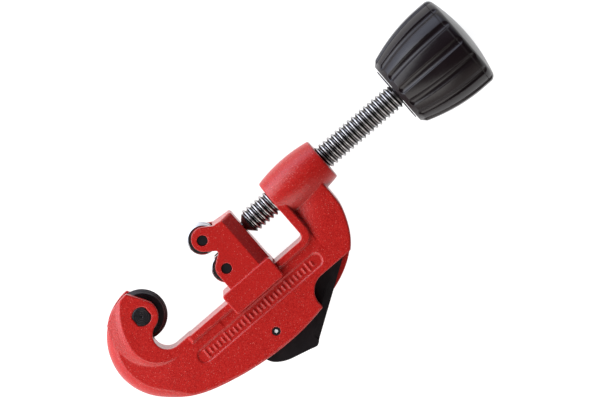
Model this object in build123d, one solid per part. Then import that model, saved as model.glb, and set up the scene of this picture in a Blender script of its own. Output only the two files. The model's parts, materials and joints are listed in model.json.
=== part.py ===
from build123d import *
import math
import os

# Pipe cutter with a screw-fed roller carriage, millimetres.
#
# Origin: centre of the cutter wheel, half way through the frame's thickness.
# +X: along the feed screw, from the cutter wheel to the knob.
# +Y: out of the open throat.
# +Z: through the thickness, so the tool lies on its side.
# The carriage is modelled at rest, open to about half of its travel.

# A distance past every face of the tool, for the far ends of cutting shapes
BEYOND = 140

# Frame casting: half thicknesses of its levels, from the middle plane
CHEEK_HALF = 7.2
RAIL_HALF = 8.3
TRACK_HALF = 7.0

# Frame outline: a chain of arcs from the nose tip round the heel to the boss
HEAD_CENTRE = (1.15, -12.2)
HEAD_R = 22.5
HEAD_SWEEP = 135
CHIN_R = 43
CHIN_SWEEP = 28
BELLY_R = 115
BELLY_SWEEP = 17
HEEL_R = 85
HEEL_SWEEP = 11
BACK_X = 84.65
BACK_POINTS = [(62.6, -40.0), (72.9, -35.0), (79.4, -28.5), (83.6, -19.7)]
BACK_TOP_Y = -6.0

# Throat and window
LOBE_R = 6.3
THROAT_R = 5.55
SPINE_TOP_Y = -17.05
RAIL_X = 9.3
RAIL_TOP_Y = -17.4
RAIL_BOTTOM_Y = -20.15
WINDOW_X = 65.6
WINDOW_CORNER_R = 2.3
RIB_X = 69.1
RIB_CORNER_R = 5.0

# Rounded and sloping faces of the casting
HEAD_SLOPE_START = (-2.0, -22.0)
HEAD_SLOPE_ACROSS = (0.6, 0.8)
HEAD_SLOPES = [(-4.0, 2.0), (-1.5, 3.9), (0.0, 5.8)]
HEAD_ROUND = 9.0
HEAD_ROUND_OUTSET = 1.12
HEAD_ROUND_RISE = 1.44
HEAD_ROUND_SLOPE = 7.2
EDGE_ROUND = 0.9
CHEEK_EDGE_R = 12.1
CHEEK_EDGE_CENTRE = (1.0, -8.2)
CHEEK_END_X = 13.3
CHEEK_TOP_Y = 12.0
CHEEK_FLANK_DEPTH = 2.6
CHEEK_FLANK = [(0.0, 0.0, 53), (0.7, 0.53, 62), (1.7, 1.06, 70)]
WEB_HOLLOW_START = (72.0, -24.0)
WEB_HOLLOW_ACROSS = (0.6, 0.8)
WEB_HOLLOW_DROPS = [(0.0, 0.0), (5.0, 0.45), (9.5, 1.65), (14.0, 2.3)]

# Screw boss
BOSS_X = (65.6, 90.3)
BOSS_END_R = (8.4, 8.6)
BOSS_MID = (79.0, 9.8)

# Cutter wheel and its axle
WHEEL_R = 9.75
WHEEL_BORE_R = 2.55
WHEEL_HUB_R = 4.6
WHEEL_HUB_HALF = 2.75
WHEEL_WEB_HALF = 1.9
WHEEL_BEVEL_R = 8.3
WHEEL_SLOT_HALF = 2.9
WHEEL_SLOT_R = 10.6
AXLE_R = 2.5
AXLE_HEAD_R = 3.5
AXLE_HEAD_FLATS = 6.2
AXLE_HEAD_THICK = 2.6
AXLE_CLEAR = 0.12
CLIP_R = 4.3
CLIP_THICK = 0.7
CLIP_RECESS_R = 4.9
CLIP_RECESS_DEPTH = 1.7

# Carriage and rollers
ROLLER_X = 36.3
ROLLER_Y = 6.95
ROLLER_R = 5.75
ROLLER_ROOT_R = 3.9
ROLLER_HALF = 6.2
ROLLER_GROOVE_HALF = (1.0, 2.9)
ROLLER_PIN_R = 2.05
ROLLER_PIN_HALF = 9.55
CARRIAGE_HALF = 10.0
EAR_CENTRE_X = 36.9
EAR_R = 4.65
EAR_GAP_HALF = 6.35
EAR_GAP_END_X = 42.6
SADDLE_X = (27.9, 51.0)
SADDLE_Y = (-23.1, -13.9)
SADDLE_RAIL_GAP = 0.15
SADDLE_UNDERSIDE_Y = -16.9
CARRIAGE_CHAMFER = 4.4
CARRIAGE_TOP_Y = 8.2
CARRIAGE_CORNER_R = 1.0
CARRIAGE_EDGE_R = 0.3
SADDLE_HALF = 10.35

# Feed screw
PITCH = 2.0
THREAD_R = 5.0
THREAD_ROOT_R = 3.95
THREAD_X = (54.2, 127.0)
BOSS_BORE_R = 5.08
TIP_CONE_R = 2.3
TIP_X = 51.5
JOURNAL_R = 2.0
JOURNAL_END_X = 46.4
JOURNAL_BORE_R = 2.08
THRUST_BALL_R = 1.5
RING_X = 48.6
RING_THICK = 1.0
RING_R = 3.1
RING_BORE_R = 1.6
SHANK_R = 3.6
SHANK_FLATS = 6.2
SHANK_END_X = 143.0
STUD_R = 3.0
STUD_END_X = 149.6

# Knob
KNOB_PROFILE = [(127.7, 13.2), (129.6, 15.1), (140.0, 18.1), (152.0, 19.5), (157.3, 19.5)]
KNOB_WASHER_X = (127.0, 127.4)
KNOB_WASHER_R = 11.2
KNOB_FLUTES = 15
FLUTE_PHASE = -4.6
FLUTE_R = 2.1
FLUTE_DEPTH = 0.95
CAVITY_X = 143.6
CAVITY_R = 13.0
INSERT_X = (131.0, 143.6)
INSERT_FLATS = 13.0
NUT_FLATS = 10.0
NUT_THICK = 4.6
CAP_RIM_R = 2.8
CAP_RIM_SWEEP = 75
CAP_SKIRT_R = 12.94
CAP_SKIRT_X = 150.8
CAP_SKIRT_WALL = 1.5
SPIGOT_R = 2.5
SPIGOT_END_X = 150.4
SPARE_X = 154.4
RETAINER_X = 151.05

# Folding reamer in the heel
REAMER_PIVOT = (34.7, -37.4)
REAMER_HALF = 1.3
REAMER_SLOT_HALF = 1.7
REAMER_HEEL_R = 12.0
REAMER_POCKET_R = (12.9, 17.2)
REAMER_SWING_TOP = 5.2
REAMER_TOP_Y = -31.5
REAMER_PIN_R = 1.55
REAMER_PIN_BORE_R = 0.8
REAMER_CORE_HALF = 7.05
REAMER_WASHER_R = 4.6
NOTCH_CENTRE = (61.4, -40.1)
NOTCH_R = 7.6

# Label recess with plain graduation marks
LABEL_X = (5.6, 66.0)
LABEL_Y = (-29.6, -23.9)
LABEL_DEPTH = 0.45
MARK_PITCH = 2.0
MARK_WIDTH = 0.5
MARK_MARGIN = 4.0


def face_of(*edges):
    """One planar face inside a closed chain of edges."""
    return make_face(Curve() + list(edges))


def slab(face, low, high):
    """The face, drawn on the XY plane, extruded from z = low to z = high."""
    return Pos(0, 0, low) * extrude(face, high - low)


def block(x, y, z):
    """A box between two x, two y and two z values."""
    size = (x[1] - x[0], y[1] - y[0], z[1] - z[0])
    middle = ((x[0] + x[1]) / 2, (y[0] + y[1]) / 2, (z[0] + z[1]) / 2)
    return Pos(*middle) * Box(*size)


def rod_z(x, y, radius, low, high):
    """A cylinder along Z."""
    return Pos(x, y, low) * extrude(Circle(radius), high - low)


def rod_x(radius, low, high):
    """A cylinder along the screw's axis."""
    return Pos(low, 0, 0) * (Rot(0, 90, 0) * extrude(Circle(radius), high - low))


def turned(face):
    """A profile drawn in the XY plane above the X axis, turned about that axis."""
    return revolve(face, Axis.X)


def rounded_bar(x, y, radius):
    """A rectangle between two x and two y values with rounded corners."""
    middle = Pos((x[0] + x[1]) / 2, (y[0] + y[1]) / 2)
    return middle * RectangleRounded(x[1] - x[0], y[1] - y[0], radius)


def hexagon(flats):
    return RegularPolygon(flats / 2, 6, major_radius=False)


# ---------------------------------------------------------------- frame casting

def outer_contour():
    """The frame's outer edges, from the nose tip round the head, belly and heel to the boss."""
    head = JernArc((HEAD_CENTRE[0], HEAD_CENTRE[1] + HEAD_R), (-1, 0), HEAD_R, HEAD_SWEEP)
    chin = JernArc(head @ 1, head % 1, CHIN_R, CHIN_SWEEP)
    belly = JernArc(chin @ 1, chin % 1, BELLY_R, BELLY_SWEEP)
    heel = JernArc(belly @ 1, belly % 1, HEEL_R, HEEL_SWEEP)
    back = Spline(heel @ 1, *BACK_POINTS, (BACK_X, BACK_TOP_Y), tangents=[heel % 1, (0, 1)])
    return head, chin, belly, heel, back


def throat_outline(contour):
    """Outer contour closed by the cheek's tip, the throat, the rail and the window."""
    tip = contour[0] @ 0
    reach = math.hypot(tip.X, tip.Y)
    tangent_angle = math.atan2(tip.Y, tip.X) - math.acos(LOBE_R / reach)
    lobe_start = (LOBE_R * math.cos(tangent_angle), LOBE_R * math.sin(tangent_angle))
    throat_y = SPINE_TOP_Y + THROAT_R
    throat_x = math.sqrt((LOBE_R + THROAT_R) ** 2 - throat_y ** 2)
    meet_scale = LOBE_R / (LOBE_R + THROAT_R)
    lobe_end = (throat_x * meet_scale, throat_y * meet_scale)
    corner_x = WINDOW_X - WINDOW_CORNER_R
    corner_y = RAIL_TOP_Y + WINDOW_CORNER_R
    top = (WINDOW_X, 0)
    return face_of(
        *contour,
        Polyline(contour[-1] @ 1, (BACK_X, 0), top, (WINDOW_X, corner_y)),
        ThreePointArc(
            (WINDOW_X, corner_y),
            (corner_x + WINDOW_CORNER_R * math.sqrt(0.5), corner_y - WINDOW_CORNER_R * math.sqrt(0.5)),
            (corner_x, RAIL_TOP_Y),
        ),
        Polyline((corner_x, RAIL_TOP_Y), (RAIL_X, RAIL_TOP_Y), (RAIL_X - 0.5, SPINE_TOP_Y)),
        Line((RAIL_X - 0.5, SPINE_TOP_Y), (throat_x, SPINE_TOP_Y)),
        ThreePointArc((throat_x, SPINE_TOP_Y), (throat_x - THROAT_R, throat_y), lobe_end),
        ThreePointArc(lobe_end, (LOBE_R * math.cos(-0.3), LOBE_R * math.sin(-0.3)), lobe_start),
        Line(lobe_start, tip),
    )


def head_lid(run, slope, rise=0, round_r=0):
    """Half plate over the whole frame whose top tilts down towards the head, with a rounded rim."""
    outer_r = HEAD_R + HEAD_ROUND_OUTSET
    head = JernArc((HEAD_CENTRE[0], HEAD_CENTRE[1] + outer_r), (-1, 0), outer_r, HEAD_SWEEP)
    top = head @ 0
    far = head @ 1 + (head % 1) * 60
    plate = slab(
        face_of(head, Polyline(head @ 1, far, (BEYOND, far.Y), (BEYOND, top.Y), top)),
        -10,
        CHEEK_HALF + rise,
    )
    if round_r:
        plate = fillet(plate.edges().group_by(Axis.Z)[-1], round_r)
    start_x, start_y = HEAD_SLOPE_START
    across_x, across_y = HEAD_SLOPE_ACROSS
    start = (start_x - run * across_y, start_y + run * across_x, CHEEK_HALF)
    tilted = plate.rotate(Axis(start, (across_x, across_y, 0)), -slope)
    return tilted & slab(Rectangle(4 * BEYOND, 4 * BEYOND), 0, 30)


def rounded_envelope(contour):
    """Plate with a small edge round, cut down to the head's slopes and large round."""
    head, chin, belly, heel, back = contour
    tip = head @ 0
    rim = slab(
        face_of(*contour, Polyline(back @ 1, (BACK_X, tip.Y), tip)),
        -CHEEK_HALF,
        CHEEK_HALF,
    )
    rim = fillet(rim.edges().group_by(Axis.Z)[0] + rim.edges().group_by(Axis.Z)[-1], EDGE_ROUND)
    lid = head_lid(0, HEAD_ROUND_SLOPE, HEAD_ROUND_RISE, HEAD_ROUND)
    for run, slope in HEAD_SLOPES:
        lid &= head_lid(run, slope)
    return rim & both_sides(lid)


def both_sides(solid):
    """A feature of the front face, repeated on the rear face."""
    return solid + mirror(solid, Plane.XY)


def cheek_flat():
    """The flat of the cheek round the axle, with a hollow flank down to the sloping head."""
    centre_x, centre_y = CHEEK_EDGE_CENTRE
    low = (centre_x, centre_y - CHEEK_EDGE_R)
    left = (centre_x - CHEEK_EDGE_R, centre_y)
    diagonal = CHEEK_EDGE_R * math.sqrt(0.5)
    flat = face_of(
        Line((CHEEK_END_X, low[1]), low),
        ThreePointArc(low, (centre_x - diagonal, centre_y - diagonal), left),
        ThreePointArc(left, (-8.0, 2.3), (0.5, CHEEK_TOP_Y)),
        Polyline((0.5, CHEEK_TOP_Y), (CHEEK_END_X, CHEEK_TOP_Y), (CHEEK_END_X, low[1])),
    )
    solid = None
    for outset, drop, taper in CHEEK_FLANK:
        step = offset(flat, outset) if outset else flat
        depth = CHEEK_FLANK_DEPTH - drop
        layer = Pos(0, 0, CHEEK_HALF - drop) * extrude(step, -depth, taper=-taper)
        solid = solid + layer if solid else layer
    return solid


def web_hollow():
    """What is cut from the web: a smooth dip, tangent to the cheek and deepest beside the rib."""
    across_x, across_y = WEB_HOLLOW_ACROSS
    section = Plane(
        origin=(*WEB_HOLLOW_START, CHEEK_HALF),
        x_dir=(-across_y, across_x, 0),
        z_dir=(across_x, across_y, 0),
    )
    bottom = Spline(*[(run, -drop) for run, drop in WEB_HOLLOW_DROPS], tangents=[(1, 0), (1, 0)])
    end = bottom @ 1
    above = face_of(bottom, Polyline((end.X, end.Y), (40, end.Y), (40, 10), (0, 10), (0, 0)))
    cut = extrude(section * above, 40, both=True)
    return cut & block((RIB_X - 0.5, BEYOND), (-40, 20), (0, 20))


def rail_and_rib():
    """The raised rail along the spine and the rib that carries on up the window's wall."""
    strip = face_of(
        Polyline((RAIL_X - 1.2, RAIL_BOTTOM_Y), (RIB_X - RIB_CORNER_R, RAIL_BOTTOM_Y)),
        ThreePointArc(
            (RIB_X - RIB_CORNER_R, RAIL_BOTTOM_Y),
            (
                RIB_X - RIB_CORNER_R * (1 - math.sqrt(0.5)),
                RAIL_BOTTOM_Y + RIB_CORNER_R * (1 - math.sqrt(0.5)),
            ),
            (RIB_X, RAIL_BOTTOM_Y + RIB_CORNER_R),
        ),
        Polyline(
            (RIB_X, RAIL_BOTTOM_Y + RIB_CORNER_R),
            (RIB_X, 0),
            (RAIL_X - 1.2, 0),
            (RAIL_X - 1.2, RAIL_BOTTOM_Y),
        ),
    )
    solid = slab(strip, 0, RAIL_HALF)
    return chamfer(solid.edges().group_by(Axis.Z)[-1], 0.45)


def plain_recess():
    """A shallow stadium sunk into the front face."""
    return slab(rounded_bar(LABEL_X, LABEL_Y, 2.8), CHEEK_HALF - LABEL_DEPTH, CHEEK_HALF + 1)


def label_recess():
    """A shallow stadium with a row of plain graduation marks left standing in it."""
    stadium = plain_recess()
    middle_y = (LABEL_Y[0] + LABEL_Y[1]) / 2
    count = int((LABEL_X[1] - LABEL_X[0] - 2 * MARK_MARGIN) / MARK_PITCH)
    for number in range(count + 1):
        x = LABEL_X[0] + MARK_MARGIN + number * MARK_PITCH
        half = 1.8 if number % 5 == 0 else 1.0
        stadium -= block(
            (x - MARK_WIDTH / 2, x + MARK_WIDTH / 2),
            (middle_y - half, middle_y + half),
            (0, CHEEK_HALF + 2),
        )
    return stadium


def reamer_pocket():
    """The slot between the heel's two cheeks, open along the belly, that the reamer folds into."""
    x, y = REAMER_PIVOT
    small, large = REAMER_POCKET_R
    swing = Pos(x, y) * Circle(large)
    swing &= rounded_bar((x - 30, x + 30), (y - 30, y + REAMER_SWING_TOP), 0.5)
    fold = face_of(
        Polyline((x, REAMER_TOP_Y + 0.7), (75.0, REAMER_TOP_Y + 0.7), (95.0, -50.0)),
        Polyline((95.0, -50.0), (x, -60.0), (x, REAMER_TOP_Y + 0.7)),
    )
    outline = Pos(x, y) * Circle(small) + swing + fold
    return slab(outline, -REAMER_SLOT_HALF, REAMER_SLOT_HALF)


def thumb_notch():
    """The cut in the front heel cheek that bares the reamer blade for a thumb."""
    x, y = NOTCH_CENTRE
    outline = (
        Pos(x, y) * Circle(NOTCH_R)
        + rounded_bar((x, 95), (y - 30, y + NOTCH_R), 0.2)
        + rounded_bar((x - NOTCH_R, x + 1), (y - 30, y), 0.2)
    )
    return slab(outline, 0, 20)


def double_d(radius, flats, low, high):
    """A round bar with two flats that face along X."""
    outline = Circle(radius) & Rectangle(flats, 4 * radius)
    return slab(outline, low, high)


def screw_boss():
    """The barrel-shaped boss that the feed screw is threaded through."""
    near = (BOSS_X[0], BOSS_END_R[0])
    far = (BOSS_X[1], BOSS_END_R[1])
    outline = face_of(
        ThreePointArc(near, BOSS_MID, far),
        Polyline(far, (BOSS_X[1], 0), (BOSS_X[0], 0), near),
    )
    boss = turned(outline)
    return fillet(boss.edges().filter_by(GeomType.CIRCLE), 0.7)


def frame():
    """The whole casting: rounded plate, cheek flat, rail, rib, boss and all its cuts."""
    contour = outer_contour()
    throat = throat_outline(contour)
    body = rounded_envelope(contour) & slab(throat, -20, 20)

    track = block((21.0, RIB_X), (SADDLE_Y[0] - 0.4, RAIL_BOTTOM_Y + 1), (TRACK_HALF, 20))
    body -= both_sides(web_hollow())
    body -= both_sides(track)
    body += both_sides(cheek_flat()) & slab(throat, -CHEEK_HALF, CHEEK_HALF)
    body += both_sides(rail_and_rib()) & slab(throat, -RAIL_HALF, RAIL_HALF)

    body += screw_boss()
    body -= rod_x(BOSS_BORE_R, BOSS_X[0] - 5, BOSS_X[1] + 5)

    body -= rod_z(0, 0, WHEEL_SLOT_R, -WHEEL_SLOT_HALF, WHEEL_SLOT_HALF)
    body -= rod_z(0, 0, AXLE_R + 0.05, -20, 20)
    body -= double_d(
        AXLE_HEAD_R + AXLE_CLEAR,
        AXLE_HEAD_FLATS + 2 * AXLE_CLEAR,
        CHEEK_HALF - AXLE_HEAD_THICK,
        20,
    )
    body -= rod_z(0, 0, CLIP_RECESS_R, -20, -CHEEK_HALF + CLIP_RECESS_DEPTH)

    body -= label_recess()
    body -= mirror(plain_recess(), Plane.XY)
    body -= reamer_pocket()
    body -= thumb_notch()
    body -= rod_z(*REAMER_PIVOT, REAMER_PIN_R, -20, 20)
    return body


# ---------------------------------------------------------------- cutter wheel

def cutter_wheel():
    """Hardened disc: thick hub, flat web and a bevelled sharp rim."""
    profile = make_face(
        Polyline(
            (WHEEL_BORE_R, -WHEEL_HUB_HALF),
            (WHEEL_HUB_R, -WHEEL_HUB_HALF),
            (WHEEL_HUB_R, -WHEEL_WEB_HALF),
            (WHEEL_BEVEL_R, -WHEEL_WEB_HALF),
            (WHEEL_R, -0.06),
            (WHEEL_R, 0.06),
            (WHEEL_BEVEL_R, WHEEL_WEB_HALF),
            (WHEEL_HUB_R, WHEEL_WEB_HALF),
            (WHEEL_HUB_R, WHEEL_HUB_HALF),
            (WHEEL_BORE_R, WHEEL_HUB_HALF),
            close=True,
        )
    )
    return revolve(Plane.XZ * profile, Axis.Z)


def cutter_axle():
    """Pin with a double-D head in the front cheek and a clip groove at the rear."""
    head_low = CHEEK_HALF - AXLE_HEAD_THICK
    head = double_d(AXLE_HEAD_R, AXLE_HEAD_FLATS, head_low, CHEEK_HALF)
    head = chamfer(head.edges().group_by(Axis.Z)[-1], 0.2)
    rear = -CHEEK_HALF + 0.2
    pin = head + rod_z(0, 0, AXLE_R, rear, head_low)
    clip_top = -CHEEK_HALF + CLIP_RECESS_DEPTH
    groove = rod_z(0, 0, AXLE_R + 1, clip_top - CLIP_THICK, clip_top)
    groove -= rod_z(0, 0, AXLE_R - 0.5, clip_top - CLIP_THICK, clip_top)
    pin -= groove
    dimple = Pos(0, 0, CHEEK_HALF) * Cone(0.05, 0.5, 0.5, align=(Align.CENTER, Align.CENTER, Align.MAX))
    return pin - dimple


def cutter_axle_clip():
    """E-clip: a ring with a mouth and two relief lobes, seated in the axle's groove."""
    top = -CHEEK_HALF + CLIP_RECESS_DEPTH
    outline = Circle(CLIP_R) - Circle(AXLE_R - 0.5)
    outline -= Pos(0, -CLIP_R) * Rectangle(2 * (AXLE_R - 0.7), 2 * CLIP_R)
    for angle in (30, 150):
        lobe = Pos(AXLE_R * math.cos(math.radians(angle)), AXLE_R * math.sin(math.radians(angle)))
        outline -= lobe * Circle(0.8)
    return slab(outline, top - CLIP_THICK, top)


# ---------------------------------------------------------------- carriage and rollers

def ear_outline():
    """Front view of the carriage above its saddle: two round ears with a notch between them."""
    left = EAR_CENTRE_X - EAR_R
    lower = Pos(EAR_CENTRE_X, -ROLLER_Y) * Circle(EAR_R)
    upper = Pos(EAR_CENTRE_X, ROLLER_Y) * Circle(EAR_R)
    back_x = SADDLE_X[1] - CARRIAGE_CHAMFER
    top_y = CARRIAGE_TOP_Y
    core = make_face(
        Polyline(
            (left, -ROLLER_Y),
            (EAR_CENTRE_X, -ROLLER_Y + 1.5),
            (37.9, -0.9),
            (37.9, 0.9),
            (EAR_CENTRE_X, ROLLER_Y - 1.5),
            (EAR_CENTRE_X + 2.6, ROLLER_Y + 3.85),
            (42.9, top_y + 0.3),
            (back_x - 0.5, top_y),
            (SADDLE_X[1], top_y),
            (SADDLE_X[1], SADDLE_Y[1] - 2),
            (left, SADDLE_Y[1] - 2),
            close=True,
        )
    )
    webs = make_face(
        Polyline(
            (EAR_CENTRE_X, -ROLLER_Y),
            (EAR_CENTRE_X - 2.4, -2.95),
            (37.9, -0.4),
            (37.9, 0.4),
            (EAR_CENTRE_X - 2.4, 2.95),
            (EAR_CENTRE_X, ROLLER_Y),
            (44, 0),
            close=True,
        )
    )
    return core + lower + upper + webs


def carriage():
    """Saddle over the rail, with ears that hold the rollers and a bore for the screw's tip."""
    body = slab(ear_outline(), -CARRIAGE_HALF, CARRIAGE_HALF)
    body = chamfer(
        body.edges().filter_by(Axis.Y).filter_by(lambda edge: edge.center().X > SADDLE_X[1] - 0.1),
        CARRIAGE_CHAMFER,
    )
    body = fillet(
        body.edges().filter_by(
            lambda edge: abs(edge.center().Y - CARRIAGE_TOP_Y) < 0.01
            and edge.center().X > SADDLE_X[1] - CARRIAGE_CHAMFER + 0.1
        ),
        CARRIAGE_CORNER_R,
    )
    flats = body.faces().sort_by(Axis.Z)
    body = fillet(flats[0].edges() + flats[-1].edges(), CARRIAGE_EDGE_R)
    saddle = slab(rounded_bar(SADDLE_X, SADDLE_Y, 1.2), -SADDLE_HALF, SADDLE_HALF)
    saddle = fillet(saddle.edges().group_by(Axis.Z)[0] + saddle.edges().group_by(Axis.Z)[-1], 0.5)
    body += saddle
    body -= block((20, EAR_GAP_END_X), (-13.4, 20), (-EAR_GAP_HALF, EAR_GAP_HALF))
    rail_half = RAIL_HALF + SADDLE_RAIL_GAP
    body -= block((20, 60), (-40, SADDLE_UNDERSIDE_Y), (-rail_half, rail_half))
    for y in (-ROLLER_Y, ROLLER_Y):
        body -= rod_z(ROLLER_X, y, ROLLER_PIN_R, -20, 20)
    ball_x = JOURNAL_END_X - 2 * THRUST_BALL_R - 0.02
    body -= rod_x(JOURNAL_BORE_R, ball_x, SADDLE_X[1] + 5)
    body -= rod_x(RING_R, RING_X - RING_THICK / 2, RING_X + RING_THICK / 2)
    return body


def roller():
    """Guide roller with a V groove that clears the cutter wheel's edge."""
    root_half, rim_half = ROLLER_GROOVE_HALF
    bore = ROLLER_PIN_R + 0.06
    profile = make_face(
        Polyline(
            (bore, -ROLLER_HALF),
            (ROLLER_R - 0.4, -ROLLER_HALF),
            (ROLLER_R, -ROLLER_HALF + 0.4),
            (ROLLER_R, -rim_half),
            (ROLLER_ROOT_R, -root_half),
            (ROLLER_ROOT_R, root_half),
            (ROLLER_R, rim_half),
            (ROLLER_R, ROLLER_HALF - 0.4),
            (ROLLER_R - 0.4, ROLLER_HALF),
            (bore, ROLLER_HALF),
            close=True,
        )
    )
    return revolve(Plane.XZ * profile, Axis.Z)


def roller_pin():
    pin = rod_z(0, 0, ROLLER_PIN_R, -ROLLER_PIN_HALF, ROLLER_PIN_HALF)
    return chamfer(pin.edges().filter_by(GeomType.CIRCLE), 0.25)


def thrust_ball():
    return Pos(JOURNAL_END_X - THRUST_BALL_R - 0.02, 0, 0) * Sphere(THRUST_BALL_R)


def screw_retaining_ring():
    """Open snap ring, held in the carriage and loose in the journal's groove."""
    ring = rod_x(RING_R, RING_X - RING_THICK / 2, RING_X + RING_THICK / 2)
    ring -= rod_x(RING_BORE_R, RING_X - RING_THICK, RING_X + RING_THICK)
    return ring - block((RING_X - 2, RING_X + 2), (-0.8, 0.8), (0, 5))


# ---------------------------------------------------------------- feed screw and knob

def feed_screw():
    """Right-hand threaded spindle with a coned tip, a grooved journal and a stud for the knob."""
    start, end = THREAD_X
    outline = make_face(
        Polyline(
            (JOURNAL_END_X, 0),
            (JOURNAL_END_X, JOURNAL_R - 0.3),
            (JOURNAL_END_X + 0.3, JOURNAL_R),
            (RING_X - 0.8, JOURNAL_R),
            (RING_X - 0.8, RING_BORE_R - 0.15),
            (RING_X + 0.8, RING_BORE_R - 0.15),
            (RING_X + 0.8, JOURNAL_R),
            (TIP_X, JOURNAL_R),
            (TIP_X, TIP_CONE_R),
            (TIP_X + THREAD_ROOT_R - TIP_CONE_R, THREAD_ROOT_R),
            (end, THREAD_ROOT_R),
            (end, SHANK_R),
            (SHANK_END_X, SHANK_R),
            (SHANK_END_X, STUD_R),
            (STUD_END_X - 0.5, STUD_R),
            (STUD_END_X, STUD_R - 0.5),
            (STUD_END_X, 0),
            close=True,
        )
    )
    core = turned(outline)
    core -= block((end, SHANK_END_X), (SHANK_FLATS / 2, 10), (-10, 10))
    core -= block((end, SHANK_END_X), (-10, -SHANK_FLATS / 2), (-10, 10))

    path = Helix(pitch=PITCH, height=end - start + 2 * PITCH, radius=THREAD_ROOT_R)
    depth = THREAD_R - THREAD_ROOT_R
    tooth = make_face(
        Polyline((-0.15, -0.86), (depth, -0.2), (depth, 0.2), (-0.15, 0.86), close=True)
    )
    tooth_plane = Plane(origin=path @ 0, x_dir=(1, 0, 0), z_dir=(0, -1, 0))
    ridge = sweep(tooth_plane * tooth, path, is_frenet=True)
    ridge = Pos(start - 2 * PITCH, 0, 0) * (Rot(0, 90, 0) * ridge)
    tip_limit = turned(
        make_face(
            Polyline(
                (TIP_X, 0),
                (TIP_X, TIP_CONE_R),
                (TIP_X + THREAD_R - TIP_CONE_R, THREAD_R + 0.01),
                (end - 1.0, THREAD_R + 0.01),
                (end, THREAD_ROOT_R),
                (end, 0),
                close=True,
            )
        )
    )
    return core + (ridge & tip_limit)


def knob_outer():
    """The knob's outside from its base to the cap's seam."""
    base, shoulder, *rest = KNOB_PROFILE
    return [Line(base, shoulder), Spline(shoulder, *rest, tangents=[(1, 0.36), (1, 0)])]


def cap_outer():
    """The cap's outside: a tight arc round the rim, then a wide one that meets the axis squarely."""
    seam_r = KNOB_PROFILE[-1][1]
    turn = math.radians(CAP_RIM_SWEEP)
    crown_r = (seam_r - CAP_RIM_R * (1 - math.cos(turn))) / math.cos(turn)
    rim = JernArc(KNOB_PROFILE[-1], (1, 0), CAP_RIM_R, -CAP_RIM_SWEEP)
    crown = JernArc(rim @ 1, rim % 1, crown_r, CAP_RIM_SWEEP - 90)
    return rim, crown


def flutes():
    """Round-bottomed grooves along the knob, which run on across the cap's rim."""
    spine = Spline(
        (129.6, 15.1 + FLUTE_R - FLUTE_DEPTH),
        (140.0, 18.1 + FLUTE_R - FLUTE_DEPTH),
        (152.0, 19.5 + FLUTE_R - FLUTE_DEPTH),
        (159.0, 19.6 + FLUTE_R - FLUTE_DEPTH),
    )
    path = Plane.XZ * spine
    section = Plane(origin=path @ 0, z_dir=path % 0) * Circle(FLUTE_R)
    groove = sweep(section, path)
    groove += Pos(path @ 0) * Sphere(FLUTE_R)
    groove += Pos(path @ 1) * Sphere(FLUTE_R)
    pitch = 360 / KNOB_FLUTES
    return [Rot(FLUTE_PHASE + number * pitch, 0, 0) * groove for number in range(KNOB_FLUTES)]


def knob_shells():
    """Knob body and cap, cut from one fluted form along the seam."""
    base = KNOB_PROFILE[0]
    seam_x, seam_r = KNOB_PROFILE[-1]
    body = turned(
        face_of(*knob_outer(), Polyline((seam_x, seam_r), (seam_x, 0), (base[0], 0), base))
    )
    rim, crown = cap_outer()
    cap = turned(face_of(rim, crown, Polyline(crown @ 1, (seam_x, 0), (seam_x, seam_r))))
    for groove in flutes():
        body -= groove
        cap -= groove
    return body, cap


def finished_knob(body):
    """Knob body with its cavity, the seat of its steel insert and the bore for the screw."""
    body -= rod_x(CAVITY_R, CAVITY_X, 200)
    body -= rod_x(SHANK_R + 0.1, 100, 200)
    insert = Pos(INSERT_X[0], 0, 0) * (Rot(0, 90, 0) * extrude(hexagon(INSERT_FLATS), 60))
    return body - insert


def knob_insert():
    """Steel hexagon sleeve with a double-D bore that drives the screw's shank."""
    length = INSERT_X[1] - INSERT_X[0]
    sleeve = Pos(INSERT_X[0], 0, 0) * (Rot(0, 90, 0) * extrude(hexagon(INSERT_FLATS), length))
    bore = rod_x(SHANK_R, INSERT_X[0], INSERT_X[1])
    bore &= block((100, 200), (-SHANK_FLATS / 2, SHANK_FLATS / 2), (-20, 20))
    return sleeve - bore


def knob_washer():
    disc = rod_x(KNOB_WASHER_R, *KNOB_WASHER_X)
    return disc - rod_x(SHANK_R, 100, 200)


def knob_nut_washer():
    disc = rod_x(5.6, CAVITY_X, CAVITY_X + 0.8)
    return disc - rod_x(STUD_R, 100, 200)


def knob_nut():
    low = CAVITY_X + 0.8
    nut = Pos(low, 0, 0) * (Rot(0, 90, 0) * extrude(hexagon(NUT_FLATS), NUT_THICK))
    return nut - rod_x(STUD_R, 100, 200)


def finished_cap(cap):
    """Cap with the skirt that plugs the knob's cavity and the spigot for the spare wheel."""
    seam = KNOB_PROFILE[-1][0]
    skirt = rod_x(CAP_SKIRT_R, CAP_SKIRT_X, seam + 0.5)
    skirt -= rod_x(CAP_SKIRT_R - CAP_SKIRT_WALL, CAP_SKIRT_X - 1, seam)
    spigot = rod_x(SPIGOT_R, SPIGOT_END_X, seam + 0.5)
    groove = rod_x(SPIGOT_R + 1, RETAINER_X - 0.5, RETAINER_X + 0.5)
    groove -= rod_x(SPIGOT_R - 0.35, RETAINER_X - 1, RETAINER_X + 1)
    return cap + skirt + (spigot - groove)


def spare_cutter_wheel():
    return Pos(SPARE_X, 0, 0) * (Rot(0, 90, 0) * cutter_wheel())


def spare_wheel_retainer():
    """Rubber ring in the spigot's groove, below the spare wheel."""
    ring = rod_x(SPIGOT_R + 0.6, RETAINER_X - 0.5, RETAINER_X + 0.5)
    return ring - rod_x(SPIGOT_R - 0.35, RETAINER_X - 1, RETAINER_X + 1)


# ---------------------------------------------------------------- folding reamer

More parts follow.
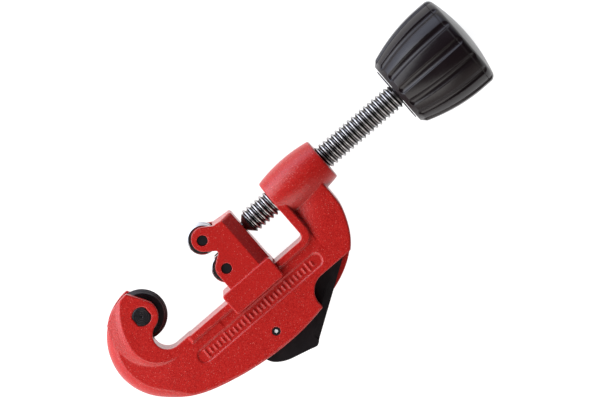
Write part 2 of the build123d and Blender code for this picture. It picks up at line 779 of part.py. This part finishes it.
def reamer_blade():
    """Flat blade: round heel at its pivot, a thumb bulge and one long bevelled edge."""
    x, y = REAMER_PIVOT
    low_angle = math.radians(212)
    high_angle = math.radians(151)
    mid_angle = (low_angle + high_angle) / 2
    heel = [
        (x + REAMER_HEEL_R * math.cos(angle), y + REAMER_HEEL_R * math.sin(angle))
        for angle in (low_angle, mid_angle, high_angle)
    ]
    outline = face_of(
        ThreePointArc(*heel),
        Polyline(heel[2], (71.4, REAMER_TOP_Y), (73.4, -32.2)),
        Line((73.4, -32.2), (45.4, -50.45)),
        Spline((45.4, -50.45), (42.7, -52.3), (39.1, -51.5), tangents=[(-28, -18.25), (-4, 0.9)]),
        Line((39.1, -51.5), (32.5, -49.8)),
        Spline((32.5, -49.8), (27.6, -47.6), heel[0], tangents=[(-6.6, 1.7), (-0.3, 1)]),
    )
    blade = slab(outline, -REAMER_HALF, REAMER_HALF)
    bevel_plane = Plane(origin=(45.4, -50.45, 0.35), x_dir=(28, 18.25, 0), z_dir=(0.18, -0.28, 1))
    bevel = bevel_plane * Box(80, 40, 10, align=(Align.CENTER, Align.CENTER, Align.MIN))
    bevel &= block((44, 80), (-60, -20), (-5, 5))
    blade -= bevel
    return blade - rod_z(x, y, REAMER_PIN_R + 0.05, -5, 5)


def reamer_pin():
    """Hollow spring pin, flush with both cheeks, with its slot along the side."""
    x, y = REAMER_PIVOT
    pin = rod_z(x, y, REAMER_PIN_R, -CHEEK_HALF, CHEEK_HALF)
    pin -= rod_z(x, y, REAMER_PIN_BORE_R, -20, 20)
    return pin - block((x - 0.15, x + 0.15), (y, y + 3), (-20, 20))


def reamer_core_pin():
    """Bright inner pin that fills the hollow one, a little sunk at both ends."""
    core = rod_z(*REAMER_PIVOT, REAMER_PIN_BORE_R, -REAMER_CORE_HALF, REAMER_CORE_HALF)
    return chamfer(core.edges().filter_by(GeomType.CIRCLE), 0.15)


def reamer_washer(low):
    x, y = REAMER_PIVOT
    thick = REAMER_SLOT_HALF - REAMER_HALF - 0.1
    disc = rod_z(x, y, REAMER_WASHER_R, low, low + thick)
    return disc - rod_z(x, y, REAMER_PIN_R, -5, 5)


# ---------------------------------------------------------------- assembly

def all_parts():
    knob_body, cap_body = knob_shells()
    washer_thick = REAMER_SLOT_HALF - REAMER_HALF - 0.1
    return {
        "frame": frame(),
        "cutter_wheel": cutter_wheel(),
        "cutter_axle": cutter_axle(),
        "cutter_axle_clip": cutter_axle_clip(),
        "carriage": carriage(),
        "upper_roller": Pos(ROLLER_X, ROLLER_Y, 0) * roller(),
        "lower_roller": Pos(ROLLER_X, -ROLLER_Y, 0) * roller(),
        "upper_roller_pin": Pos(ROLLER_X, ROLLER_Y, 0) * roller_pin(),
        "lower_roller_pin": Pos(ROLLER_X, -ROLLER_Y, 0) * roller_pin(),
        "thrust_ball": thrust_ball(),
        "screw_retaining_ring": screw_retaining_ring(),
        "feed_screw": feed_screw(),
        "knob": finished_knob(knob_body),
        "knob_insert": knob_insert(),
        "knob_washer": knob_washer(),
        "knob_nut_washer": knob_nut_washer(),
        "knob_nut": knob_nut(),
        "knob_cap": finished_cap(cap_body),
        "spare_cutter_wheel": spare_cutter_wheel(),
        "spare_wheel_retainer": spare_wheel_retainer(),
        "reamer_blade": reamer_blade(),
        "reamer_pin": reamer_pin(),
        "reamer_core_pin": reamer_core_pin(),
        "reamer_washer_front": reamer_washer(REAMER_SLOT_HALF - washer_thick),
        "reamer_washer_rear": reamer_washer(-REAMER_SLOT_HALF),
    }


os.makedirs("parts", exist_ok=True)
for name, solid in all_parts().items():
    export_step(solid, f"parts/{name}.step")
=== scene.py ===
import json
import math

import bmesh
import bpy
from mathutils import Matrix, Vector


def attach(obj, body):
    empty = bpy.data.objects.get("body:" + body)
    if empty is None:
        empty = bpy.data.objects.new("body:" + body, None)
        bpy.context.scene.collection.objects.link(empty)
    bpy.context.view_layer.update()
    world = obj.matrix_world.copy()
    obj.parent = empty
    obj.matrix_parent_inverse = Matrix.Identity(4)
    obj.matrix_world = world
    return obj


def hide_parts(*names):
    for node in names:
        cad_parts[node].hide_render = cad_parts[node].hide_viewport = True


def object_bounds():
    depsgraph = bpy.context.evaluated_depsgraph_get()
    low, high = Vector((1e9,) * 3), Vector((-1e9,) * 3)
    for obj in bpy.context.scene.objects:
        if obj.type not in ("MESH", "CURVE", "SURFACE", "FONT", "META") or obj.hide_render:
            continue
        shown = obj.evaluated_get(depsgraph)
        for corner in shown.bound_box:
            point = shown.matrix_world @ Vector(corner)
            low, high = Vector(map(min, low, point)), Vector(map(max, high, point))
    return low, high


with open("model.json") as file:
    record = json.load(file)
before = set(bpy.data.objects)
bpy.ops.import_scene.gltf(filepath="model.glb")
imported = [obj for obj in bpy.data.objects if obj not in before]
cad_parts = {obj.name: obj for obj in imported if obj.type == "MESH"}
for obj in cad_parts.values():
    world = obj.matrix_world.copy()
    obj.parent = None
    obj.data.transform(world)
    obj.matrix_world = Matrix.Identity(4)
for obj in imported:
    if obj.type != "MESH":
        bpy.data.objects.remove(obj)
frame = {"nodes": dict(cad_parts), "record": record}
cad_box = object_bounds()
nodes = frame["nodes"]
MM = 0.001

# The camera looks almost straight down on the tool, which lies on its side. The screw points up
# to the right, and the camera leans a little towards the knob and the open throat.
VIEW_CENTRE = Vector((73.6, -6.3, 0.0)) * MM
VIEW_WIDTH = 226.4 * MM
VIEW_TILT = Vector((0.04, 0.083, 1.0))
VIEW_TURN = math.radians(40.97)
CAMERA_DISTANCE = 1.6
CAMERA_REACH = 20.0
SENSOR = 36.0

# The feed screw's thread, from the bottom of its valleys to its crests
THREAD_ROOT = 3.95 * MM
THREAD_CREST = 4.95 * MM

# Joins the CAD mesh's doubled corner points before it is remeshed
WELD = 0.002 * MM

# Colours, linear
RED_SHADE = (0.30, 0.0050, 0.0045)
RED_BASE = (0.37, 0.0072, 0.0064)
RED_SPECKLE = (0.48, 0.018, 0.014)
# Pale pink flecks painted into the powder coat as glints of light
RED_PAINTED_GLINT = (0.85, 0.34, 0.28)
PLASTIC_DARK = (0.0060, 0.0034, 0.0042)
PLASTIC_LIGHT = (0.0096, 0.0058, 0.0070)
# The thread's colours by height: a painted glint in each valley, painted shade low on the flanks, the darker
# flanks, and crests rubbed bright with a painted highlight
THREAD_GLINT = (0.22, 0.21, 0.21)
THREAD_VALLEY_SHADE = (0.022, 0.018, 0.020)
THREAD_FLANK = (0.060, 0.055, 0.056)
THREAD_WEAR_AND_HIGHLIGHT = (0.50, 0.49, 0.49)
OXIDE_DARK = (0.016, 0.013, 0.015)
OXIDE_LIGHT = (0.03, 0.025, 0.028)
GROUND_DARK = (0.40, 0.39, 0.38)
GROUND_LIGHT = (0.56, 0.55, 0.53)
BRIGHT_DARK = (0.70, 0.70, 0.69)
BRIGHT_LIGHT = (0.80, 0.80, 0.79)
RUBBER_DARK = (0.015, 0.015, 0.015)
RUBBER_LIGHT = (0.025, 0.025, 0.025)

# Nodes whose black oxide shows turning marks round the cutter's axis
TURNED_NODES = ("cutter_wheel", "cutter_axle")

# Pieces drawn with softened edges: name, node, body, slot, voxel in mm, rounds of smoothing
SOFTENED_PIECES = (
    ("cast_frame", "frame", "frame_body", "red_casting", 0.25, 4),
    ("cast_carriage", "carriage", "carriage_body", "red_casting", 0.2, 4),
    ("moulded_knob", "knob", "screw_body", "black_plastic", 0.2, 3),
    ("moulded_cap", "knob_cap", "cap_body", "black_plastic", 0.2, 3),
    ("rolled_screw", "feed_screw", "screw_body", "screw_steel", 0.13, 2),
)

# Studio
FLOOR_HALF = 6.0
FLOOR_GREY = (0.3, 0.3, 0.3, 1.0)
FLOOR_GLOW = 0.93
WHITE = (1.0, 1.0, 1.0, 1.0)
TENT_WARM = (0.90, 0.83, 0.79, 1.0)
TENT_COOL = (0.78, 0.86, 1.06, 1.0)
SOFTBOX_SIZE = (1.6, 0.8)
SOFTBOX_DISTANCE = 1.3


# ---------------------------------------------------------------- node helpers

class Shader:
    """A material under construction: short calls that add and link nodes."""

    def __init__(self, name):
        self.material = bpy.data.materials.new(name)
        self.material.use_nodes = True
        self.tree = self.material.node_tree
        self.surface = self.tree.nodes["Principled BSDF"]
        self.where = self.add("ShaderNodeTexCoord").outputs["Object"]

    def add(self, kind, **settings):
        node = self.tree.nodes.new(kind)
        for key, value in settings.items():
            setattr(node, key, value)
        return node

    def link(self, source, target):
        self.tree.links.new(source, target)

    def set(self, **values):
        for key, value in values.items():
            self.surface.inputs[key.replace("_", " ")].default_value = value

    def noise(self, scale, detail=3.0, roughness=0.55):
        """Noise of about 1/scale metres, in the object's own space."""
        node = self.add("ShaderNodeTexNoise")
        node.inputs["Scale"].default_value = scale
        node.inputs["Detail"].default_value = detail
        node.inputs["Roughness"].default_value = roughness
        self.link(self.where, node.inputs["Vector"])
        return node.outputs["Fac"]

    def grains(self, scale):
        """Voronoi cells of about 1/scale metres: distance to the centre, and a random colour for each."""
        node = self.add("ShaderNodeTexVoronoi")
        node.inputs["Scale"].default_value = scale
        self.link(self.where, node.inputs["Vector"])
        return node.outputs["Distance"], node.outputs["Color"]

    def turning_marks(self, scale):
        """Fine rings about the object's own Z axis."""
        node = self.add("ShaderNodeTexWave", wave_type="RINGS", rings_direction="Z")
        node.inputs["Scale"].default_value = scale
        self.link(self.where, node.inputs["Vector"])
        return node.outputs["Fac"]

    def distance_from_x_axis(self):
        across = self.add("ShaderNodeMapping")
        across.inputs["Scale"].default_value = (0.0, 1.0, 1.0)
        self.link(self.where, across.inputs["Vector"])
        radius = self.add("ShaderNodeVectorMath", operation="LENGTH")
        self.link(across.outputs["Vector"], radius.inputs[0])
        return radius.outputs["Value"]

    def ramp(self, value, *stops):
        """A colour ramp: each stop is a place from 0 to 1 and a colour or a grey level."""
        node = self.add("ShaderNodeValToRGB")
        elements = node.color_ramp.elements
        while len(elements) < len(stops):
            elements.new(0.5)
        for element, (place, colour) in zip(elements, stops):
            element.position = place
            element.color = (*colour, 1.0) if isinstance(colour, tuple) else (colour,) * 3 + (1.0,)
        self.link(value, node.inputs["Fac"])
        return node.outputs["Color"]

    def multiply(self, first, second):
        node = self.add("ShaderNodeMath", operation="MULTIPLY")
        self.link(first, node.inputs[0])
        self.link(second, node.inputs[1])
        return node.outputs["Value"]

    def rescale(self, value, start=0.0, end=1.0, low=0.0, high=1.0):
        """Maps start..end to low..high."""
        node = self.add("ShaderNodeMapRange")
        node.inputs["From Min"].default_value = start
        node.inputs["From Max"].default_value = end
        node.inputs["To Min"].default_value = low
        node.inputs["To Max"].default_value = high
        self.link(value, node.inputs["Value"])
        return node.outputs["Result"]

    def mix(self, factor, first, second):
        """A blend of the colour made so far, first, and a plain colour, second."""
        node = self.add("ShaderNodeMix", data_type="RGBA")
        self.link(factor, node.inputs["Factor"])
        self.link(first, node.inputs["A"])
        node.inputs["B"].default_value = (*second, 1.0)
        return node.outputs["Result"]

    def bump(self, height, strength, distance, below=None):
        node = self.add("ShaderNodeBump")
        node.inputs["Strength"].default_value = strength
        node.inputs["Distance"].default_value = distance
        self.link(height, node.inputs["Height"])
        if below:
            self.link(below, node.inputs["Normal"])
        return node.outputs["Normal"]

    def finish(self, colour, roughness, normal):
        links = (("Base Color", colour), ("Roughness", roughness), ("Normal", normal), ("Coat Normal", normal))
        for name, value in links:
            self.link(value, self.surface.inputs[name])
        return self.material


# ---------------------------------------------------------------- materials

def red_casting():
    """Powder coat: slightly cloudy red, orange peel, and fine pale flecks painted into the colour as glints of
    light.
    """
    shader = Shader("red_powder_coat")
    shader.set(Specular_IOR_Level=0.25, Coat_Weight=0.28, Coat_Roughness=0.16)
    cloud = shader.noise(scale=70.0, detail=4.0)
    colour = shader.ramp(cloud, (0.3, RED_SHADE), (0.7, RED_BASE))
    speckle = shader.noise(scale=3400.0, detail=1.0, roughness=0.5)
    colour = shader.mix(shader.ramp(speckle, (0.40, 0.0), (0.60, 1.0)), colour, RED_SPECKLE)
    # Rare pale flecks: painted glints of light on the coat
    spot, tint = shader.grains(scale=2000.0)
    painted_glint = shader.ramp(spot, (0.14, 1.0), (0.28, 0.0))
    rare = shader.ramp(tint, (0.60, 0.0), (0.80, 0.55))
    colour = shader.mix(shader.multiply(painted_glint, rare), colour, RED_PAINTED_GLINT)
    peel = shader.noise(scale=1400.0, detail=2.0, roughness=0.5)
    grain = shader.noise(scale=3200.0, detail=1.0, roughness=0.5)
    normal = shader.bump(peel, strength=0.30, distance=0.22 * MM)
    normal = shader.bump(grain, strength=0.45, distance=0.16 * MM, below=normal)
    return shader.finish(colour, shader.rescale(peel, low=0.24, high=0.40), normal)


def black_plastic():
    """Moulded plastic: near black, fine texture, slightly polished in faint random patches."""
    shader = Shader("black_moulded_plastic")
    shader.set(Specular_IOR_Level=0.27)
    haze = shader.noise(scale=70.0, detail=4.0)
    colour = shader.ramp(haze, (0.3, PLASTIC_DARK), (0.7, PLASTIC_LIGHT))
    grain = shader.noise(scale=4200.0, detail=2.0)
    normal = shader.bump(grain, strength=0.22, distance=0.07 * MM)
    return shader.finish(colour, shader.rescale(haze, low=0.20, high=0.30), normal)


def steel(name, dark, light, rough_low, rough_high, bump=0.18, metallic=1.0, rings=0.0):
    """Metal with fine scratches and faint patches; rings is the strength of its turning marks."""
    shader = Shader(name)
    shader.set(Metallic=metallic)
    grain = shader.noise(scale=900.0, detail=4.0, roughness=0.6)
    patches = shader.noise(scale=120.0, detail=3.0)
    colour = shader.ramp(patches, (0.3, dark), (0.7, light))
    normal = shader.bump(grain, strength=bump, distance=0.04 * MM)
    if rings:
        marks = shader.turning_marks(scale=500.0)
        normal = shader.bump(marks, strength=rings, distance=0.1 * MM, below=normal)
    return shader.finish(colour, shader.rescale(grain, low=rough_low, high=rough_high), normal)


def rolled_thread():
    """The screw's steel: crests rubbed bright and painted brighter still as a highlight, darker flanks with
    painted shade low down, and a painted glint at the bottom of each valley.
    """
    shader = Shader("screw_steel")
    shader.set(Metallic=1.0)
    height = shader.rescale(shader.distance_from_x_axis(), start=THREAD_ROOT, end=THREAD_CREST)
    # Light and shade painted by the thread's height: a glint at the valley bottom, shade just above it, and a
    # highlight on the crests
    colour = shader.ramp(
        height,
        (0.02, THREAD_GLINT),
        (0.15, THREAD_VALLEY_SHADE),
        (0.76, THREAD_FLANK),
        (0.96, THREAD_WEAR_AND_HIGHLIGHT),
    )
    grain = shader.noise(scale=900.0, detail=3.0)
    normal = shader.bump(grain, strength=0.05, distance=0.04 * MM)
    return shader.finish(colour, shader.rescale(grain, low=0.22, high=0.40), normal)


MATERIALS = {
    "red_casting": red_casting(),
    "black_plastic": black_plastic(),
    "screw_steel": rolled_thread(),
    "black_steel": steel("black_oxide", OXIDE_DARK, OXIDE_LIGHT, 0.25, 0.45, metallic=0.6),
    "turned_black": steel("turned_black", OXIDE_DARK, OXIDE_LIGHT, 0.2, 0.4, metallic=0.6, rings=0.5),
    "roller_steel": steel("roller_steel", GROUND_DARK, GROUND_LIGHT, 0.12, 0.28, bump=0.08),
    "bright_steel": steel("bright_steel", BRIGHT_DARK, BRIGHT_LIGHT, 0.28, 0.42, metallic=0.3),
    "rubber": steel("rubber", RUBBER_DARK, RUBBER_LIGHT, 0.6, 0.8, metallic=0.0),
}


def paint(piece, material):
    piece.data.materials.clear()
    piece.data.materials.append(MATERIALS[material])


for part in frame["record"]["subparts"]:
    paint(nodes[part["node"]], part["material_slot"])
for turned_node in TURNED_NODES:
    paint(nodes[turned_node], "turned_black")


# ---------------------------------------------------------------- soft edges

def add_to_scene(thing):
    bpy.context.scene.collection.objects.link(thing)


def remeshed(name, node, voxel, rounds):
    """The node's shape as one fine even mesh, smoothed so that edges and seams are a little rounded."""
    mesh = nodes[node].data.copy()
    build = bmesh.new()
    build.from_mesh(mesh)
    bmesh.ops.remove_doubles(build, verts=build.verts, dist=WELD)
    build.to_mesh(mesh)
    build.free()
    rough = bpy.data.objects.new(name + "_rough", mesh)
    add_to_scene(rough)
    remesh = rough.modifiers.new("remesh", "REMESH")
    remesh.mode = "VOXEL"
    remesh.voxel_size = voxel * MM
    smooth = rough.modifiers.new("soften", "SMOOTH")
    smooth.factor = 0.5
    smooth.iterations = rounds
    depsgraph = bpy.context.evaluated_depsgraph_get()
    finished = bpy.data.meshes.new_from_object(rough.evaluated_get(depsgraph))
    bpy.data.objects.remove(rough)
    bpy.data.meshes.remove(mesh)
    finished.name = name
    finished.shade_smooth()
    return finished


def softened(name, node, body, slot, voxel, rounds):
    """A cast, moulded or rolled piece that takes the place of its CAD node in the picture."""
    piece = bpy.data.objects.new(name, remeshed(name, node, voxel, rounds))
    add_to_scene(piece)
    paint(piece, slot)
    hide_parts(node)
    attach(piece, body)


for row in SOFTENED_PIECES:
    softened(*row)


# ---------------------------------------------------------------- camera

def viewing_camera():
    """Places the camera far off; returns the picture's right, its up, and the way back to the camera."""
    backward = VIEW_TILT.normalized()
    right = Vector((math.cos(VIEW_TURN), -math.sin(VIEW_TURN), 0.0))
    right = (right - backward * right.dot(backward)).normalized()
    up = backward.cross(right)
    data = bpy.data.cameras.new("photo_camera")
    data.sensor_width = SENSOR
    data.lens = SENSOR * CAMERA_DISTANCE / VIEW_WIDTH
    data.clip_end = CAMERA_REACH
    camera = bpy.data.objects.new("photo_camera", data)
    turn = Matrix((right, up, backward)).transposed().to_4x4()
    camera.matrix_world = Matrix.Translation(VIEW_CENTRE + backward * CAMERA_DISTANCE) @ turn
    add_to_scene(camera)
    bpy.context.scene.camera = camera
    return right, up, backward


photo_right, photo_up, photo_back = viewing_camera()


# ---------------------------------------------------------------- studio

def softbox(name, direction, power, colour):
    """An area light that faces the tool; direction is (photo right, photo up, towards the camera)."""
    data = bpy.data.lights.new(name, "AREA")
    data.shape = "RECTANGLE"
    data.size, data.size_y = SOFTBOX_SIZE
    data.energy = power
    data.color = colour
    light = bpy.data.objects.new(name, data)
    offset = photo_right * direction[0] + photo_up * direction[1] + photo_back * direction[2]
    offset.normalize()
    light.location = VIEW_CENTRE + offset * SOFTBOX_DISTANCE
    light.rotation_euler = offset.to_track_quat("Z", "Y").to_euler()
    add_to_scene(light)


def light_table():
    """A wide white floor, lit a little from within, so the tool throws hardly any shadow."""
    mesh = bpy.data.meshes.new("floor")
    floor = bpy.data.objects.new("floor", mesh)
    build = bmesh.new()
    bmesh.ops.create_grid(build, x_segments=1, y_segments=1, size=FLOOR_HALF)
    build.to_mesh(mesh)
    build.free()
    floor.location.z = cad_box[0][2]
    add_to_scene(floor)
    shader = Shader("floor_white")
    shader.set(Base_Color=FLOOR_GREY, Roughness=0.9, Specular_IOR_Level=0.0)
    shader.set(Emission_Color=WHITE, Emission_Strength=FLOOR_GLOW)
    mesh.materials.append(shader.material)


def tent():
    """Bright walls under a dim ceiling: dim beyond the knob, brightest and coolest past the throat."""
    world = bpy.data.worlds.new("light_tent")
    world.use_nodes = True
    tree = world.node_tree
    background = tree.nodes["Background"]
    where = tree.nodes.new("ShaderNodeTexCoord")
    split = tree.nodes.new("ShaderNodeSeparateXYZ")
    tree.links.new(where.outputs["Generated"], split.inputs["Vector"])

    def fade(axis, start, end, low, high):
        """A smooth change from low to high as the direction's part along axis goes from start to end."""
        node = tree.nodes.new("ShaderNodeMapRange")
        node.interpolation_type = "SMOOTHSTEP"
        node.inputs["From Min"].default_value = start
        node.inputs["From Max"].default_value = end
        node.inputs["To Min"].default_value = low
        node.inputs["To Max"].default_value = high
        tree.links.new(split.outputs[axis], node.inputs["Value"])
        return node.outputs["Result"]

    strength = fade("Z", 0.22, 0.62, 1.5, 0.03)
    for factor in (fade("X", -0.1, 0.8, 1.0, 0.3), fade("Y", -0.2, 0.85, 0.65, 2.7)):
        product = tree.nodes.new("ShaderNodeMath")
        product.operation = "MULTIPLY"
        tree.links.new(strength, product.inputs[0])
        tree.links.new(factor, product.inputs[1])
        strength = product.outputs["Value"]
    tree.links.new(strength, background.inputs["Strength"])
    tint = tree.nodes.new("ShaderNodeMix")
    tint.data_type = "RGBA"
    tint.inputs["A"].default_value = TENT_WARM
    tint.inputs["B"].default_value = TENT_COOL
    tree.links.new(fade("Y", -0.6, 0.6, 0.0, 1.0), tint.inputs["Factor"])
    tree.links.new(tint.outputs["Result"], background.inputs["Color"])
    bpy.context.scene.world = world


light_table()
tent()
softbox("left", (-1.0, 0.0, 0.70), power=18.5, colour=(0.95, 0.97, 1.0))
softbox("below", (-0.1, -1.0, 0.70), power=14.0, colour=(1.0, 0.98, 0.95))
bpy.context.scene.view_settings.view_transform = "Standard"
